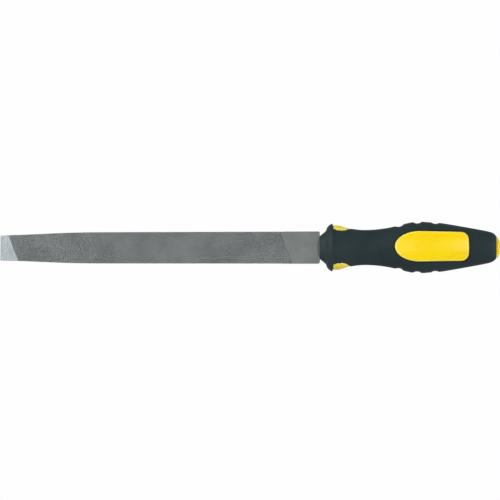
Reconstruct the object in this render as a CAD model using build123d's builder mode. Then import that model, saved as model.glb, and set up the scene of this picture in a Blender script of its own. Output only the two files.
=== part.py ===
from build123d import *
import os
from math import cos, pi, sin

os.makedirs("parts", exist_ok=True)

# Flat file with a 200 mm blade and a two-shot handle, in millimetres.
# X runs along the tool, from the tip at -X to the butt at +X. Y is the width, Z the thickness.
# The origin is the middle of the whole tool. The tool is the same on both sides of the
# XY plane and of the XZ plane.

# ---- driving dimensions ----
OVERALL_LENGTH = 313.7
BLADE_LENGTH = 200.0

# blade
HEEL_WIDTH = 20.0
WAIST_WIDTH = 19.4          # where the sides start to run in towards the tip
TIP_WIDTH = 15.3
WAIST_FROM_TIP = 48.0
WAIST_BLEND = 620.0         # radius of the blend between the two straight stretches
BLADE_THICKNESS = 5.0
TIP_THICKNESS = 4.0
THIN_FROM_TIP = 60.0        # the faces start to thin here
FACE_BLEND = 2000.0
HEEL_RAMP = 4.8             # length of the ramp from the faces down to the tang
HEEL_CORNER = 1.0
TANG_ROOT = (9.5, 4.4)      # width, thickness
TANG_END = (3.6, 2.6)
TANG_LENGTH = 62.0
TANG_SHOULDER = 1.2         # radius where the tang leaves the heel

# handle
RUBBER = 2.2                # wall of the soft second shot over the hard core
CORE_FRONT = 1.5            # the core starts this far behind the heel
FLANGE_REAR = 8.0
RIM_START = 107.1
GRIP_END = 110.3            # rear face of the soft shot
CORE_END = 109.3            # rear face of the core, under the end cap
CORE_NECK_START = 100.7     # from here the core also has the oval of the end cap
HANDLE_CLEAR = 60.0         # longer than the handle is wide or high
OVAL_POINTS = 32

# Sections of the handle: distance behind the heel, half width, half height, and the power
# of the superellipse (2 is an ellipse, higher is boxier).
NOSE = [
    (0.0, 7.2, 6.0, 2.5),
    (3.7, 10.3, 8.5, 2.4),
    (4.6, 12.7, 10.4, 2.3),
    (6.0, 14.1, 11.6, 2.3),
    (7.3, 14.9, 12.3, 2.3),
    (FLANGE_REAR, 15.0, 12.4, 2.3),
]
BODY = [
    (7.3, 14.5, 11.9, 2.3),
    (10.7, 13.95, 10.8, 2.3),
    (13.7, 13.4, 9.9, 2.27),
    (16.7, 12.4, 9.2, 2.25),
    (19.7, 11.8, 8.8, 2.2),
    (23.7, 11.25, 8.75, 2.2),
    (27.7, 11.0, 8.85, 2.2),
    (35.7, 11.35, 9.4, 2.25),
    (43.7, 12.5, 10.5, 2.35),
    (50.7, 14.15, 11.5, 2.45),
    (57.7, 15.75, 12.2, 2.5),
    (65.7, 16.0, 12.5, 2.5),
    (73.7, 15.45, 12.3, 2.5),
    (81.7, 14.3, 11.8, 2.6),
    (89.7, 12.9, 10.9, 2.75),
    (97.7, 11.45, 9.8, 2.9),
    (103.7, 10.3, 8.9, 3.0),
    (RIM_START, 9.45, 8.3, 3.1),
]
REAR_RIM = [
    (RIM_START, 9.45, 8.3, 3.1),
    (109.0, 8.5, 7.4, 3.0),
    (GRIP_END, 7.2, 6.1, 2.9),
]

# shallow grooves between the ribs of the palm: distance behind the heel, depth at the flank
RIB_GROOVES = [(49.0, 0.85), (60.9, 0.85), (72.4, 0.8)]
GROOVE_RADIUS = 4.3
GROOVE_FADE = 0.3           # the groove runs out this far above the top of the handle

# yellow areas where the core comes through the soft shot
PAD_FRONT = 46.6
PAD_FULL = 61.9             # the pad is widest here
PAD_REAR = 92.8
PAD_HALF_WIDTH = 9.5
PAD_REAR_HALF_WIDTH = 9.0
PAD_CORNER = 4.8
PAD_CROWN = 0.6             # how far the rear edge of the pad bows out
PAD_PROUD = 0.6             # height above the soft shot
PAD_EDGE = 0.5              # rounding of the pad's rim
FIN_CENTRE = 9.0
FIN_HALF_HEIGHT = 7.5
FIN_LENGTH = 9.5

# grooves in the core that lock the soft shot to it
KEY_STATIONS = (27.0, 34.0, 41.0)
KEY_WIDTH = 3.0
KEY_DEPTH = 0.9

# end cap and the pocket that it closes
CAP_OVAL = (6.9, 5.8, 2.7)
CAP_DOME = 9.6
POCKET_OVAL = (5.0, 4.0, 2.7)
POCKET_FRONT = 80.0
SPIGOT_LENGTH = 9.0

# ---- derived places ----
TIP_X = -OVERALL_LENGTH / 2
HEEL_X = TIP_X + BLADE_LENGTH
BUTT_X = OVERALL_LENGTH / 2
WAIST = (TIP_X + WAIST_FROM_TIP, WAIST_WIDTH / 2)
FACES_THIN = (TIP_X + THIN_FROM_TIP, BLADE_THICKNESS / 2)
PAD_FULL_X = HEEL_X + PAD_FULL
PAD_REAR_X = HEEL_X + PAD_REAR


def oval(half_width, half_height, power):
    """Points of a superellipse, evenly spread in angle, starting on +Y."""
    points = []
    for step in range(OVAL_POINTS):
        angle = 2 * pi * step / OVAL_POINTS
        across = abs(cos(angle) / half_width) ** power
        up = abs(sin(angle) / half_height) ** power
        reach = (across + up) ** (-1 / power)
        points.append((reach * cos(angle), reach * sin(angle)))
    return points


def lofted(sections, grow=0.0, ruled=False):
    """Solid through handle sections, with every half size changed by grow."""
    with BuildPart() as body:
        for behind_heel, half_width, half_height, power in sections:
            with BuildSketch(Plane.YZ.offset(HEEL_X + behind_heel)):
                with BuildLine():
                    Spline(oval(half_width + grow, half_height + grow, power), periodic=True)
                make_face()
        loft(ruled=ruled)
    return body.part


def oval_bar(shape, start, end):
    """Straight bar of one oval section between two distances behind the heel."""
    with BuildPart() as bar:
        with BuildSketch(Plane.YZ.offset(HEEL_X + start)):
            with BuildLine():
                Spline(oval(*shape), periodic=True)
            make_face()
        extrude(amount=end - start)
    return bar.part


def body_half_sizes(behind_heel):
    """Half width and half height of the handle between its two nearest sections."""
    for front, rear in zip(BODY, BODY[1:]):
        if front[0] <= behind_heel <= rear[0]:
            share = (behind_heel - front[0]) / (rear[0] - front[0])
            return [front[i] + share * (rear[i] - front[i]) for i in (1, 2, 3)]
    raise ValueError("no handle section there")


def rib_groove(behind_heel, depth):
    """Ring of round section that cuts a groove, deepest at the flanks and gone at the top."""
    half_width, half_height, power = body_half_sizes(behind_heel)
    ring_width = half_width + GROOVE_RADIUS - depth
    ring_height = half_height + GROOVE_RADIUS + GROOVE_FADE
    with BuildPart() as groove:
        with BuildLine(Plane.YZ.offset(HEEL_X + behind_heel)) as path:
            Spline(oval(ring_width, ring_height, power), periodic=True)
        with BuildSketch(Plane(path.line @ 0, z_dir=path.line % 0)):
            Circle(GROOVE_RADIUS)
        sweep(path=path.line)
    return groove.part


# ---- file_blade: one forging, the toothed blade and its tang ----
with BuildPart() as file_blade:
    with BuildSketch() as plan:
        with BuildLine():
            Polyline(
                (TIP_X, 0),
                (TIP_X, TIP_WIDTH / 2),
                WAIST,
                (HEEL_X, HEEL_WIDTH / 2),
                (HEEL_X, 0),
                close=True,
            )
        make_face()
        fillet(plan.vertices().sort_by_distance(WAIST)[0], radius=WAIST_BLEND)
        mirror(about=Plane.XZ)
    extrude(amount=BLADE_THICKNESS, both=True)
    with BuildSketch(Plane.XZ) as side:
        with BuildLine():
            Polyline(
                (TIP_X, 0),
                (TIP_X, TIP_THICKNESS / 2),
                FACES_THIN,
                (HEEL_X - HEEL_RAMP, BLADE_THICKNESS / 2),
                (HEEL_X, TANG_ROOT[1] / 2),
                (HEEL_X, 0),
                close=True,
            )
        make_face()
        fillet(side.vertices().sort_by_distance(FACES_THIN)[0], radius=FACE_BLEND)
        mirror(about=Plane.XZ)
    extrude(amount=HEEL_WIDTH, both=True, mode=Mode.INTERSECT)
    fillet(file_blade.edges().filter_by(Axis.Z).group_by(Axis.X)[-1], radius=HEEL_CORNER)
    for distance, (width, thickness) in ((0, TANG_ROOT), (TANG_LENGTH, TANG_END)):
        with BuildSketch(Plane.YZ.offset(HEEL_X + distance)):
            Rectangle(width, thickness)
    loft()
    tang_shoulders = (
        file_blade.edges()
        .filter_by(Axis.Z)
        .filter_by(lambda edge: abs(edge.center().X - HEEL_X) < 0.01)
    )
    fillet(tang_shoulders, radius=TANG_SHOULDER)

# ---- pads: the core's yellow palm pads, top and bottom, as one block through the handle ----
with BuildPart() as pad_block:
    with BuildSketch() as pad_plan:
        with BuildLine():
            arch = EllipticalCenterArc(
                (PAD_FULL_X, 0), PAD_FULL - PAD_FRONT, PAD_HALF_WIDTH, start_angle=90, arc_size=90
            )
            crown = TangentArc(
                (PAD_REAR_X, 0), (PAD_REAR_X - PAD_CROWN, PAD_REAR_HALF_WIDTH), tangent=(0, 1)
            )
            Line(arch @ 0, crown @ 1)
            Line(arch @ 1, crown @ 0)
        make_face()
        corner = pad_plan.vertices().sort_by_distance(crown @ 1)[0]
        fillet(corner, radius=PAD_CORNER)
        mirror(about=Plane.XZ)
    extrude(amount=HANDLE_CLEAR, both=True)
    add(lofted(BODY, grow=PAD_PROUD), mode=Mode.INTERSECT)
    upright = pad_block.edges().filter_by(Axis.Z)
    centre_line = pad_block.edges().filter_by(lambda edge: abs(edge.center().Z) < PAD_EDGE)
    fillet(pad_block.edges() - upright - centre_line, radius=PAD_EDGE)

# ---- fins: the core's yellow flanks behind the guard, as one block through the handle ----
with BuildPart() as fin_block:
    with BuildSketch(Plane.XZ):
        with Locations((HEEL_X + FIN_CENTRE, 0)):
            Ellipse(FIN_LENGTH, FIN_HALF_HEIGHT)
        with Locations((HEEL_X + FLANGE_REAR, 0)):
            Rectangle(HANDLE_CLEAR, HANDLE_CLEAR, align=(Align.MAX, Align.CENTER), mode=Mode.SUBTRACT)
    extrude(amount=HANDLE_CLEAR, both=True)
    add(lofted(BODY), mode=Mode.INTERSECT)

# ---- outer form of the handle, soft shot and core together ----
with BuildPart() as handle_form:
    add(lofted(BODY))
    for station, depth in RIB_GROOVES:
        add(rib_groove(station, depth), mode=Mode.SUBTRACT)
    add(lofted(NOSE, ruled=True))
    add(lofted(REAR_RIM))

# ---- rings cut into the core, so that the soft shot keys into it ----
with BuildPart() as key_rings:
    with Locations([(HEEL_X + station, 0, 0) for station in KEY_STATIONS]):
        Box(KEY_WIDTH, HANDLE_CLEAR, HANDLE_CLEAR)
    add(lofted(BODY, grow=-RUBBER - KEY_DEPTH), mode=Mode.SUBTRACT)

# ---- form of the core before the tang socket and the rear pocket are opened in it ----
with BuildPart() as core_form:
    add(lofted(NOSE, grow=-RUBBER, ruled=True))
    split(bisect_by=Plane.YZ.offset(HEEL_X + CORE_FRONT), keep=Keep.TOP)
    add(lofted(BODY, grow=-RUBBER))
    add(oval_bar(CAP_OVAL, CORE_NECK_START, CORE_END))
    add(key_rings.part, mode=Mode.SUBTRACT)
    add(fin_block.part)
    add(pad_block.part)

# ---- handle_core: hard yellow first shot ----
with BuildPart() as handle_core:
    add(core_form.part)
    add(oval_bar(POCKET_OVAL, POCKET_FRONT, CORE_END), mode=Mode.SUBTRACT)
    add(file_blade.part, mode=Mode.SUBTRACT)

# ---- grip_overmould: soft second shot, with the windows that the core fills ----
with BuildPart() as grip_overmould:
    add(handle_form.part)
    add(core_form.part, mode=Mode.SUBTRACT)
    add(file_blade.part, mode=Mode.SUBTRACT)
    add(oval_bar(CAP_OVAL, CORE_END, GRIP_END), mode=Mode.SUBTRACT)

# ---- end_cap: domed plug in the rear pocket of the core ----
with BuildPart() as end_cap:
    add(oval_bar(CAP_OVAL, CORE_END, BUTT_X - HEEL_X))
    with Locations((BUTT_X - CAP_DOME, 0, 0)):
        Sphere(CAP_DOME, mode=Mode.INTERSECT)
    add(oval_bar(POCKET_OVAL, CORE_END - SPIGOT_LENGTH, CORE_END))

for piece, name in (
    (file_blade, "file_blade"),
    (handle_core, "handle_core"),
    (grip_overmould, "grip_overmould"),
    (end_cap, "end_cap"),
):
    piece.part.label = name
    export_step(piece.part, f"parts/{name}.step")
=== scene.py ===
import math

import bmesh
import bpy
import numpy as np
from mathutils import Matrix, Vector
from mathutils.bvhtree import BVHTree


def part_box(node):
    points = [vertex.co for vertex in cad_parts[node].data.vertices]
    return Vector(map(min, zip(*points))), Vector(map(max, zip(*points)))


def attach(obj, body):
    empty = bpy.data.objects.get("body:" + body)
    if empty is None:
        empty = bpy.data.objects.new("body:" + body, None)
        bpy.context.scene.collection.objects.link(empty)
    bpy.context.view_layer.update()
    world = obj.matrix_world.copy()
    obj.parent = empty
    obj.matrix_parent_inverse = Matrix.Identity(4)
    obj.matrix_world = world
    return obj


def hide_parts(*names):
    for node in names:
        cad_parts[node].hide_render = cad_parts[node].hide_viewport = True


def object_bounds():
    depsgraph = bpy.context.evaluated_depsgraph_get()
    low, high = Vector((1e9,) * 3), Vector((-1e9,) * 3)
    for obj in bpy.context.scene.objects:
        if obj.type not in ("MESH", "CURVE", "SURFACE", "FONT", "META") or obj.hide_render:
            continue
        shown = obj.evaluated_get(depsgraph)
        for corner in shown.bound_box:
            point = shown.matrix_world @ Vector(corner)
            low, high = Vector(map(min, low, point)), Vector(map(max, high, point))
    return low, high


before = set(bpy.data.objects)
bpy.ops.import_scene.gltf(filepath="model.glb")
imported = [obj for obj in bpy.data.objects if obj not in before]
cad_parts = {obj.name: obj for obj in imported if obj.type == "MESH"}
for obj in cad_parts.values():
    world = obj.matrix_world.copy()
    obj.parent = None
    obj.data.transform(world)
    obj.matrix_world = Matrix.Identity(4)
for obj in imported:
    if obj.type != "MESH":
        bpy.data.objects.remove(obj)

cad_low, cad_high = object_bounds()
MM = 0.001


def mesh_tree(mesh):
    bm = bmesh.new()
    bm.from_mesh(mesh)
    tree = BVHTree.FromBMesh(bm)
    bm.free()
    return tree


# ---- places, all worked out from the frame ----
FAR_OUT = 0.1                       # rays start this far from the axis, outside the tool
JUST_INSIDE = 0.01 * MM             # rays at the blade's ends meet a face this far in
DOWN = Vector((0, 0, -1))
INWARD = Vector((0, -1, 0))
TO_TIP = Vector((-1, 0, 0))

blade_low, blade_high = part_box("file_blade")
blade_tree = mesh_tree(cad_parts["file_blade"].data)
core_tree = mesh_tree(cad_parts["handle_core"].data)
TIP = blade_low.x
FACE = blade_high.z
beside_tang = Vector((blade_high.x, 0.8 * blade_high.y, 0))
HEEL = blade_tree.ray_cast(beside_tang, TO_TIP)[0].x

# ---- the cut of the file ----
SEED = 7
OVERCUT_LEAN = math.radians(69)     # between a row of teeth and the long axis
UNDERCUT_LEAN = math.radians(48)
OVERCUT_PITCH = 0.7 * MM
UNDERCUT_PITCH = 0.82 * MM
OVERCUT_DEPTH = 0.19 * MM
UNDERCUT_DEPTH = 0.1 * MM
EDGE_DEPTH = 0.14 * MM
EDGE_LEAN = 0.25                    # the cuts on the narrow edges lean by this slope
# A tooth as (share of the pitch, height), from 0 at the root to 1 at the crest. The steep
# side comes first, so a tooth faces the tip.
OVERCUT_TOOTH = ((0.0, 0.0), (0.28, 1.0))
UNDERCUT_TOOTH = ((0.0, 0.0), (0.3, 1.0))
EDGE_TOOTH = ((0.0, 0.0), (0.3, 1.0))
PLACE_SCATTER = 0.03                # a tooth is off its place by up to this share of the pitch
DEPTH_SCATTER = (0.9, 1.08)         # and its depth is multiplied by a number in this range
CREST_SINK = 0.02 * MM              # the crests stay this far inside the solid blade
TIP_UNCUT = 8.1 * MM                # bright bare steel along the axis, at the tip
HEEL_UNCUT = 21.2 * MM              # bare steel along the axis, at the heel
EDGE_UNCUT = 1.0 * MM               # on the narrow edges this much more is bare at both ends
CUT_BORDER = 0.06 * MM              # at its borders the cut ends over this length
ABOVE = 1.0 * MM                    # where nothing is cut, the cutter stays this far clear
SECTION_STATIONS = 120              # places along the blade where its section is measured
SECTION_END = HEEL - 5 * MM         # the solid blade keeps its full thickness up to here

# ---- the heel ----
HEEL_RAMP = 8.0 * MM                # the faces curve down to the tang over this length
RAMP_SLICES = 14
RAMP_SLACK = 0.02 * MM
SAME_PLANE = 0.0001 * MM            # a vertex this close to a slice's plane lies on it

# ---- extent of the closed cutters, well past the blade on every side ----
SLAB_OVERHANG = 5 * MM
SLAB_HALF_WIDTH = 13 * MM
SLAB_FLOOR = -12 * MM
PRISM_OVERHANG = 9 * MM
PRISM_HALF_HEIGHT = 6 * MM

# ---- moulding ----
WELD = 0.0005 * MM                  # vertices of a CAD mesh closer than this become one
HANDLE_VOXEL = 0.36 * MM
CAP_VOXEL = 0.2 * MM
SEAM_DEPTH = 0.5 * MM               # the soft shot dips this much where it meets the core
SOFT_SEAM = 1.1 * MM                # width of the seam on the soft shot, which dips there and carries painted shade
HARD_SEAM = 2.4 * MM                # and on the core, where it carries a painted highlight
SEAM_FACING = 0.2                   # a seam needs a surface that faces outward this much


def linked(name, data):
    """A new object with this data, in the scene."""
    made = bpy.data.objects.new(name, data)
    bpy.context.scene.collection.objects.link(made)
    return made


def mesh_object(name, verts, faces):
    mesh = bpy.data.meshes.new(name)
    mesh.from_pydata([tuple(v) for v in verts], [], [tuple(f) for f in faces])
    mesh.update()
    return linked(name, mesh)


def welded_copy(node, name):
    """A copy of a CAD node's mesh with its split vertices joined, so that it is closed."""
    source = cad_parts[node]
    mesh = source.data.copy()
    mesh.transform(source.matrix_world)
    bm = bmesh.new()
    bm.from_mesh(mesh)
    bmesh.ops.remove_doubles(bm, verts=bm.verts, dist=WELD)
    bm.to_mesh(mesh)
    bm.free()
    mesh.materials.clear()
    return linked(name, mesh)


def apply_modifiers(piece):
    depsgraph = bpy.context.evaluated_depsgraph_get()
    mesh = bpy.data.meshes.new_from_object(piece.evaluated_get(depsgraph), depsgraph=depsgraph)
    old = piece.data
    piece.modifiers.clear()
    piece.data = mesh
    bpy.data.meshes.remove(old)


def keep_inside(piece, cutter):
    """Keeps the part of a piece that lies inside a closed cutter, and deletes the cutter."""
    cut = piece.modifiers.new("cut", "BOOLEAN")
    cut.operation = "INTERSECT"
    cut.solver = "MANIFOLD"
    cut.object = cutter
    apply_modifiers(piece)
    bpy.data.objects.remove(cutter)


def stand_in(piece, node):
    """Puts a finished piece in the place of a CAD node."""
    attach(piece, "root")
    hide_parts(node)


# ---- file_blade with real teeth ----
# On a face, u runs across the rows of the overcut and v across the rows of the undercut.
over_normal = np.array([math.sin(OVERCUT_LEAN), math.cos(OVERCUT_LEAN)])
under_normal = np.array([math.sin(UNDERCUT_LEAN), -math.cos(UNDERCUT_LEAN)])
CUT_START = (TIP + TIP_UNCUT) * over_normal[0]
CUT_END = (HEEL - HEEL_UNCUT) * over_normal[0]


def tooth_lines(start, end, pitch, depth, tooth, rng):
    """Places and heights of a cut's lines, tooth after tooth, with the crests at height 0."""
    count = round((end - start) / pitch)
    step = (end - start) / count
    places, heights = [], []
    for number in range(count):
        shift = rng.uniform(-PLACE_SCATTER, PLACE_SCATTER) * step
        deep = depth * rng.uniform(*DEPTH_SCATTER)
        for share, height in tooth:
            places.append(start + (number + share) * step + shift)
            heights.append((height - 1) * deep)
    return np.array(places), np.array(heights)


def blade_section():
    """Half thickness and half width of the solid blade along its length, by ray casts."""
    stations = np.linspace(TIP + JUST_INSIDE, SECTION_END, SECTION_STATIONS)
    tops, sides = [], []
    for x in stations:
        tops.append(blade_tree.ray_cast(Vector((x, 0, FAR_OUT)), DOWN)[0].z)
        sides.append(blade_tree.ray_cast(Vector((x, FAR_OUT, 0)), INWARD)[0].y)
    return stations, np.array(tops), np.array(sides)


def closed_slab(xy, z, quads):
    """Vertices and faces of the body between a surface of quads and a flat floor."""
    count = len(xy)
    top = np.column_stack([xy, z])
    bottom = np.column_stack([xy, np.full(count, SLAB_FLOOR)])
    # two quads pass their shared edge in opposite directions, so only the rim is left over
    rim = {}
    for quad in quads:
        for corner in range(4):
            pair = (quad[corner], quad[(corner + 1) % 4])
            if pair[::-1] in rim:
                del rim[pair[::-1]]
            else:
                rim[pair] = True
    faces = list(quads)
    faces += [tuple(i + count for i in quad[::-1]) for quad in quads]
    faces += [(b, a, a + count, b + count) for a, b in rim]
    return np.vstack([top, bottom]), faces


def toothed_slab(section, rng):
    """Closed slab whose top carries the double cut, and clears the blade where it is uncut."""
    stations, tops, _ = section
    low_x, high_x = TIP - SLAB_OVERHANG, blade_high.x + SLAB_OVERHANG
    sides_y = (-SLAB_HALF_WIDTH, SLAB_HALF_WIDTH)
    corners = [np.array([x, y]) for x in (low_x, high_x) for y in sides_y]
    u_ends = [corner @ over_normal for corner in corners]
    v_ends = [corner @ under_normal for corner in corners]
    u, u_high = tooth_lines(CUT_START, CUT_END, OVERCUT_PITCH, OVERCUT_DEPTH, OVERCUT_TOOTH, rng)
    # the undercut goes on past the corners of the slab
    v_start, v_end = min(v_ends) - 2 * MM, max(v_ends) + 2 * MM
    v, v_high = tooth_lines(v_start, v_end, UNDERCUT_PITCH, UNDERCUT_DEPTH, UNDERCUT_TOOTH, rng)
    # the overcut starts after two uncut lines, and ends with a root and two uncut lines
    before = [min(u_ends) - MM, CUT_START - CUT_BORDER]
    after = [CUT_END, CUT_END + CUT_BORDER, max(u_ends) + MM]
    is_cut = np.concatenate(([0, 0], np.ones(len(u)), [1, 0, 0]))
    u = np.concatenate((before, u, after))
    u_high = np.concatenate(([0, 0], u_high, [-OVERCUT_DEPTH, 0, 0]))
    to_xy = np.linalg.inv(np.array([over_normal, under_normal]))

    def v_span(low_u, high_u):
        """Range of v inside the slab's rectangle between two u lines."""
        found = []
        for line in (low_u, high_u):
            for y in sides_y:
                x = min(max((line - y * over_normal[1]) / over_normal[0], low_x), high_x)
                found.append(np.array([x, y]) @ under_normal)
        for corner in corners:
            if low_u <= corner @ over_normal <= high_u:
                found.append(corner @ under_normal)
        return min(found), max(found)

    index = {}
    xy, z, quads = [], [], []

    def vertex(i, j):
        """Number of the vertex where the lines u[i] and v[j] cross."""
        if (i, j) not in index:
            index[i, j] = len(xy)
            point = to_xy @ np.array([u[i], v[j]])
            height = -CREST_SINK + u_high[i] + v_high[j] if is_cut[i] else ABOVE
            xy.append(point)
            z.append(np.interp(point[0], stations, tops) + height)
        return index[i, j]

    for i in range(len(u) - 1):
        low_v, high_v = v_span(u[i], u[i + 1])
        first = max(np.searchsorted(v, low_v) - 1, 0)
        last = min(np.searchsorted(v, high_v) + 1, len(v) - 1)
        for j in range(first, last):
            quads.append((vertex(i, j), vertex(i + 1, j), vertex(i + 1, j + 1), vertex(i, j + 1)))
    xy, z = np.array(xy), np.array(z)
    # whether the quads face up depends on the two normals, so the first quad is looked at
    a, b, c, _ = quads[0]
    if np.cross(xy[b] - xy[a], xy[c] - xy[a]) < 0:
        quads = [quad[::-1] for quad in quads]
    return closed_slab(xy, z, quads)


def edge_prism(section, rng):
    """Closed prism whose two long sides carry the single cut of the narrow edges."""
    stations, _, sides = section
    start, end = TIP + TIP_UNCUT + EDGE_UNCUT, HEEL - HEEL_UNCUT - EDGE_UNCUT
    before = [TIP - PRISM_OVERHANG, start - CUT_BORDER]
    after = [end, end + CUT_BORDER, blade_high.x + PRISM_OVERHANG]
    clear_start, clear_end = np.interp([start, end], stations, sides) + ABOVE
    outlines = []
    for side in (1, -1):
        x, high = tooth_lines(start, end, OVERCUT_PITCH, EDGE_DEPTH, EDGE_TOOTH, rng)
        y = np.interp(x, stations, sides) - CREST_SINK + high
        x = np.concatenate((before, x, after))
        y = np.concatenate(([clear_start, clear_start], y, [y[-1], clear_end, clear_end]))
        outlines.append(np.column_stack([x, side * y]))
    ring = np.vstack([outlines[1], outlines[0][::-1]])
    levels = (-PRISM_HALF_HEIGHT, PRISM_HALF_HEIGHT)
    verts = [(x + z * EDGE_LEAN, y, z) for z in levels for x, y in ring]
    count = len(ring)
    faces = [(i, (i + 1) % count, (i + 1) % count + count, i + count) for i in range(count)]
    faces += [tuple(range(count))[::-1], tuple(range(count, 2 * count))]
    return np.array(verts), faces


def curve_ramps(blade):
    """Slices the blade across its ramps at the heel, and lays both faces on a parabola there."""
    start = HEEL - HEEL_RAMP
    over_heel = Vector((HEEL - JUST_INSIDE, 0.6 * blade_high.y, FAR_OUT))
    drop = FACE - blade_tree.ray_cast(over_heel, DOWN)[0].z
    bm = bmesh.new()
    bm.from_mesh(blade.data)
    for x in np.linspace(start, HEEL - RAMP_SLACK, RAMP_SLICES):
        everything = bm.verts[:] + bm.edges[:] + bm.faces[:]
        bmesh.ops.bisect_plane(
            bm, geom=everything, dist=SAME_PLANE, plane_co=(x, 0, 0), plane_no=(1, 0, 0)
        )
    for vertex in bm.verts:
        along = (vertex.co.x - start) / HEEL_RAMP
        on_a_face = abs(vertex.co.z) > FACE - drop - RAMP_SLACK
        # the heel itself is at 1, give or take rounding
        if 0 < along <= 1.001 and on_a_face:
            vertex.co.z = math.copysign(FACE - drop * min(along, 1) ** 2, vertex.co.z)
    bm.to_mesh(blade.data)
    bm.free()


def make_blade():
    rng = np.random.default_rng(SEED)
    blade = welded_copy("file_blade", "blade")
    section = blade_section()
    keep_inside(blade, mesh_object("edge_cutter", *edge_prism(section, rng)))
    verts, faces = toothed_slab(section, rng)
    keep_inside(blade, mesh_object("top_cutter", verts, faces))
    verts, faces = toothed_slab(section, rng)
    turned_over = verts * np.array([1, -1, -1])
    keep_inside(blade, mesh_object("bottom_cutter", turned_over, faces))
    curve_ramps(blade)
    stand_in(blade, "file_blade")
    return blade


# ---- moulded pieces: soft edges from a fine voxel mesh of each solid ----
def moulded(node, name, voxel, rounds):
    """A piece made from a CAD node by a voxel mesh and some rounds of smoothing."""
    piece = welded_copy(node, name)
    remesh = piece.modifiers.new("remesh", "REMESH")
    remesh.mode = "VOXEL"
    remesh.voxel_size = voxel
    smooth = piece.modifiers.new("smooth", "SMOOTH")
    smooth.factor = 0.5
    smooth.iterations = rounds
    apply_modifiers(piece)
    piece.data.shade_smooth()
    stand_in(piece, node)
    return piece


def draw_down_seams():
    """Draws the soft shot down beside the hard core, and marks the seam on both for the shader,
    which paints a highlight on the core and shade on the soft shot there.
    """
    grip_tree = mesh_tree(grip.data)
    for piece, other, width in ((grip, core_tree, SOFT_SEAM), (core, grip_tree, HARD_SEAM)):
        seam = piece.data.attributes.new("seam", "FLOAT", "POINT")
        for vertex in piece.data.vertices:
            outward = Vector((0, vertex.co.y, vertex.co.z)).normalized()
            distance = other.find_nearest(vertex.co)[3]
            if distance > width or vertex.normal.dot(outward) < SEAM_FACING:
                continue
            share = 1 - distance / width
            seam.data[vertex.index].value = share
            if piece is grip:
                vertex.co -= outward * SEAM_DEPTH * share * share * (3 - 2 * share)


blade = make_blade()
core = moulded("handle_core", "core", HANDLE_VOXEL, rounds=6)
grip = moulded("grip_overmould", "grip", HANDLE_VOXEL, rounds=5)
cap = moulded("end_cap", "cap", CAP_VOXEL, rounds=6)
draw_down_seams()


# ---- materials ----
class Graph:
    """Short calls for building the nodes of a material or a world."""

    def __init__(self, owner):
        self.owner = owner
        self.owner.use_nodes = True
        self.tree = self.owner.node_tree
        self.tree.nodes.clear()

    def node(self, kind, settings=None, **inputs):
        made = self.tree.nodes.new(kind)
        for key, value in (settings or {}).items():
            setattr(made, key, value)
        for key, value in inputs.items():
            self.feed(made.inputs[key.replace("_", " ")], value)
        return made

    def feed(self, socket, value):
        if isinstance(value, bpy.types.NodeSocket):
            self.tree.links.new(value, socket)
        else:
            socket.default_value = value

    def place(self, scale=(1, 1, 1), turn=(0, 0, 0)):
        """Position in metres, stretched and turned."""
        where = self.node("ShaderNodeNewGeometry").outputs["Position"]
        return self.node("ShaderNodeMapping", Vector=where, Scale=scale, Rotation=turn).outputs[0]

    def noise(self, at, scale, detail=3.0, roughness=0.55):
        made = self.node(
            "ShaderNodeTexNoise", Vector=at, Scale=scale, Detail=detail, Roughness=roughness
        )
        return made.outputs["Fac"]

    # the mask along the seam, which carries painted highlight on the core and painted shade on the
    # rubber
    def seam(self):
        return self.node("ShaderNodeAttribute", {"attribute_name": "seam"}).outputs["Fac"]

    def ramp(self, value, low, high, to_low=0.0, to_high=1.0):
        """Goes smoothly from to_low to to_high while the value goes from low to high."""
        made = self.node("ShaderNodeMapRange", {"interpolation_type": "SMOOTHSTEP"})
        for socket, given in zip(made.inputs, (value, low, high, to_low, to_high)):
            self.feed(socket, given)
        return made.outputs[0]

    def mix(self, share, a, b):
        made = self.node("ShaderNodeMix", {"data_type": "RGBA"})
        self.feed(made.inputs["Factor"], share)
        self.feed(made.inputs["A"], a)
        self.feed(made.inputs["B"], b)
        return made.outputs["Result"]

    def bump(self, height, distance, strength):
        made = self.node("ShaderNodeBump", Strength=strength, Distance=distance, Height=height)
        return made.outputs[0]

    def show(self, shader, output="ShaderNodeOutputMaterial"):
        """Ends the graph with this shader, and returns its material or world."""
        self.feed(self.node(output).inputs["Surface"], shader.outputs[0])
        return self.owner

    def finish(self, **inputs):
        return self.show(self.node("ShaderNodeBsdfPrincipled", **inputs))


def material_graph(name):
    return Graph(bpy.data.materials.new(name))


def rgb(red, green, blue):
    """Linear colour of display values from 0 to 255."""
    linear = []
    for value in (red / 255, green / 255, blue / 255):
        linear.append(((value + 0.055) / 1.055) ** 2.4 if value > 0.04045 else value / 12.92)
    return (*linear, 1.0)


def cut_steel():
    g = material_graph("cut_steel")
    at = g.place()
    cloud = g.noise(at, scale=60, detail=4)
    grain = g.noise(at, scale=2600, detail=2)
    pits = g.noise(at, scale=9000, detail=2)
    colour = g.mix(g.ramp(cloud, 0.35, 0.65), rgb(136, 139, 140), rgb(149, 152, 152))
    colour = g.mix(g.ramp(grain, 0.4, 0.7, 0.0, 0.35), colour, rgb(100, 103, 104))
    rough = g.ramp(grain, 0.3, 0.7, 0.34, 0.5)
    normal = g.bump(pits, distance=0.01 * MM, strength=0.5)
    return g.finish(Base_Color=colour, Metallic=1.0, Roughness=rough, Normal=normal)


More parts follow.
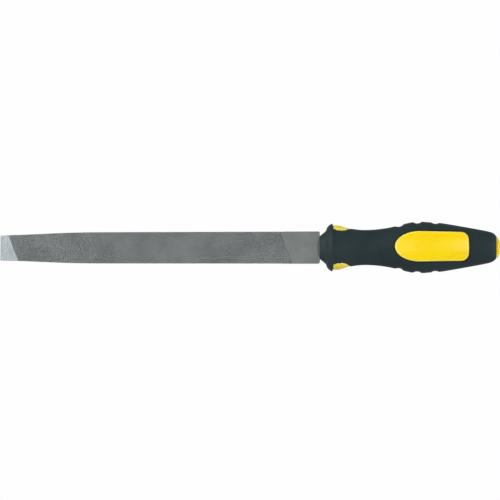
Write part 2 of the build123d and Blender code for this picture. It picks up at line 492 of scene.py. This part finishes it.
def ground_steel():
    """Bright steel with the lines of the grinding across the blade."""
    g = material_graph("ground_steel")
    stretched = g.place(scale=(1.0, 0.04, 1.0), turn=(0, 0, math.radians(8)))
    lines = g.noise(stretched, scale=9000)
    cloud = g.noise(g.place(), scale=220)
    colour = g.mix(g.ramp(cloud, 0.3, 0.7), rgb(156, 163, 166), rgb(167, 174, 177))
    colour = g.mix(g.ramp(lines, 0.45, 0.75, 0.0, 0.4), colour, rgb(142, 149, 154))
    rough = g.ramp(lines, 0.3, 0.7, 0.22, 0.36)
    normal = g.bump(lines, distance=0.012 * MM, strength=0.6)
    return g.finish(Base_Color=colour, Metallic=1.0, Roughness=rough, Normal=normal)


def heel_steel():
    """Satin steel with fine lines along the blade."""
    g = material_graph("heel_steel")
    lines = g.noise(g.place(scale=(0.03, 1.0, 1.0)), scale=6000)
    cloud = g.noise(g.place(), scale=90, detail=4)
    colour = g.mix(g.ramp(cloud, 0.3, 0.7), rgb(132, 137, 136), rgb(144, 148, 147))
    colour = g.mix(g.ramp(lines, 0.45, 0.75, 0.0, 0.35), colour, rgb(115, 119, 119))
    rough = g.ramp(lines, 0.3, 0.7, 0.36, 0.5)
    normal = g.bump(lines, distance=0.015 * MM, strength=0.5)
    return g.finish(Base_Color=colour, Metallic=1.0, Roughness=rough, Normal=normal)


def yellow_plastic():
    """Satin plastic that lets a little light in under its surface, with a painted highlight that
    makes it paler along the seam.
    """
    g = material_graph("yellow_plastic")
    at = g.place()
    cloud = g.noise(at, scale=70)
    speck = g.noise(at, scale=3200)
    colour = g.mix(g.ramp(cloud, 0.3, 0.7), rgb(252, 215, 0), rgb(254, 220, 0))
    # painted highlight: the core turns paler along the seam, standing in for the light its rounded
    # edge catches
    colour = g.mix(g.ramp(g.seam(), 0.1, 0.8, 0.0, 0.8), colour, rgb(246, 232, 120))
    rough = g.ramp(speck, 0.3, 0.7, 0.22, 0.32)
    normal = g.bump(speck, distance=0.012 * MM, strength=0.5)
    return g.finish(
        Base_Color=colour, Roughness=rough, Normal=normal, Specular_IOR_Level=0.4,
        Subsurface_Weight=0.15, Subsurface_Scale=1.0 * MM, Subsurface_Radius=(0.8, 0.7, 0.2),
    )


def dark_rubber():
    """Matt green-black rubber, with painted shade that makes it darker and browner along the seam.
    """
    g = material_graph("dark_rubber")
    at = g.place()
    cloud = g.noise(at, scale=55, detail=4)
    speck = g.noise(at, scale=2400, roughness=0.6)
    colour = g.mix(g.ramp(cloud, 0.3, 0.7), rgb(26, 41, 44), rgb(32, 48, 52))
    # painted shade: the rubber turns darker and browner along the seam, standing in for the shade
    # in the groove beside the core
    colour = g.mix(g.ramp(g.seam(), 0.1, 0.35), colour, rgb(28, 25, 0))
    rough = g.ramp(speck, 0.3, 0.7, 0.56, 0.72)
    normal = g.bump(speck, distance=0.03 * MM, strength=0.7)
    return g.finish(Base_Color=colour, Roughness=rough, Normal=normal, Specular_IOR_Level=0.25)


def dress_blade():
    """Cut faces, ground tip and plain heel each get their own steel."""
    blade.data.materials.clear()
    for material in (cut_steel(), ground_steel(), heel_steel()):
        blade.data.materials.append(material)
    cut, ground, plain = range(3)
    for face in blade.data.polygons:
        side = 1 if face.center.z > 0 else -1
        u = face.center.x * over_normal[0] + side * face.center.y * over_normal[1]
        if u < CUT_START:
            face.material_index = ground
        elif u > CUT_END:
            face.material_index = plain
        else:
            face.material_index = cut
    blade.data.shade_flat()


dress_blade()
yellow = yellow_plastic()
core.data.materials.append(yellow)
cap.data.materials.append(yellow)
grip.data.materials.append(dark_rubber())


# ---- floor, light and camera ----
FLOOR_HALF_SIZE = 6.0
FLOOR_GAP = 0.2 * MM
FLOOR_WHITE = 0.99                  # brightness of the floor for the camera
FLOOR_GLOW = 0.5                    # and for the tool above it


def make_floor():
    """Pale floor that glows evenly. It can't be seen from below, so the tool isn't hidden."""
    far, low = FLOOR_HALF_SIZE, cad_low.z - FLOOR_GAP
    corners = [(-far, -far, low), (far, -far, low), (far, far, low), (-far, far, low)]
    floor = mesh_object("floor", corners, [(0, 1, 2, 3)])
    g = material_graph("pale_floor")
    to_camera = g.node("ShaderNodeLightPath").outputs["Is Camera Ray"]
    strength = g.ramp(to_camera, 0.0, 1.0, FLOOR_GLOW, FLOOR_WHITE)
    glow = g.node("ShaderNodeEmission", Color=(1, 1, 1, 1), Strength=strength)
    clear = g.node("ShaderNodeBsdfTransparent")
    from_below = g.node("ShaderNodeNewGeometry").outputs["Backfacing"]
    mixed = g.node("ShaderNodeMixShader", Fac=from_below)
    g.feed(mixed.inputs[1], glow.outputs[0])
    g.feed(mixed.inputs[2], clear.outputs[0])
    floor.data.materials.append(g.show(mixed))


def softbox(name, place, size, radiance):
    """Square lamp of a given brightness that faces the middle of the tool."""
    lamp = bpy.data.lights.new(name, "AREA")
    lamp.shape = "SQUARE"
    lamp.size = size
    lamp.energy = radiance * math.pi * size * size
    made = linked(name, lamp)
    made.location = place
    made.rotation_mode = "QUATERNION"
    made.rotation_quaternion = (-Vector(place)).to_track_quat("-Z", "Y")
    made.visible_camera = False


def make_studio(horizon, zenith):
    """White room whose walls are brighter than its ceiling, for the sides of the tool."""
    wall_top, ceiling = 0.1, 0.5    # heights on a sphere of radius 1 around the tool
    g = Graph(bpy.data.worlds.new("studio"))
    direction = g.node("ShaderNodeTexCoord").outputs["Generated"]
    height = g.node("ShaderNodeSeparateXYZ", Vector=direction).outputs["Z"]
    strength = g.ramp(height, wall_top, ceiling, horizon, zenith)
    white = g.node("ShaderNodeBackground", Color=(1, 1, 1, 1), Strength=strength)
    bpy.context.scene.world = g.show(white, "ShaderNodeOutputWorld")


def make_light():
    make_studio(horizon=0.8, zenith=0.15)
    softbox("overhead", (-0.68, 0, 2.6), size=1.5, radiance=0.65)
    softbox("high_key", (-1.6, 0.4, 5.8), size=1.7, radiance=1.9)
    softbox("side_key", (-1.5, 0.6, 1.2), size=0.9, radiance=13)
    softbox("rear_key", (1.0, 0.2, 1.8), size=0.7, radiance=4)
    softbox("rear_fill", (2.5, -0.2, 0.7), size=1.3, radiance=5.2)
    softbox("near_fill", (0.3, -2.2, 1.0), size=1.5, radiance=1.2)


def make_camera():
    """Almost straight above the tool, a little towards -Y, and far enough away for a flat view."""
    frame_width = 313.2 * MM
    distance = 2.0
    lean = math.radians(3.9)
    roll = math.radians(-0.07)
    aim = Vector((-0.6 * MM, -1.46 * MM, 0))
    data = bpy.data.cameras.new("camera")
    data.sensor_width = 36
    data.lens = data.sensor_width * distance / frame_width
    camera = linked("camera", data)
    camera.location = aim + distance * Vector((0, -math.sin(lean), math.cos(lean)))
    camera.rotation_euler = (lean, 0, 0)
    camera.rotation_euler.rotate_axis("Z", roll)
    bpy.context.scene.camera = camera


make_floor()
make_light()
make_camera()
bpy.context.scene.view_settings.view_transform = "Standard"
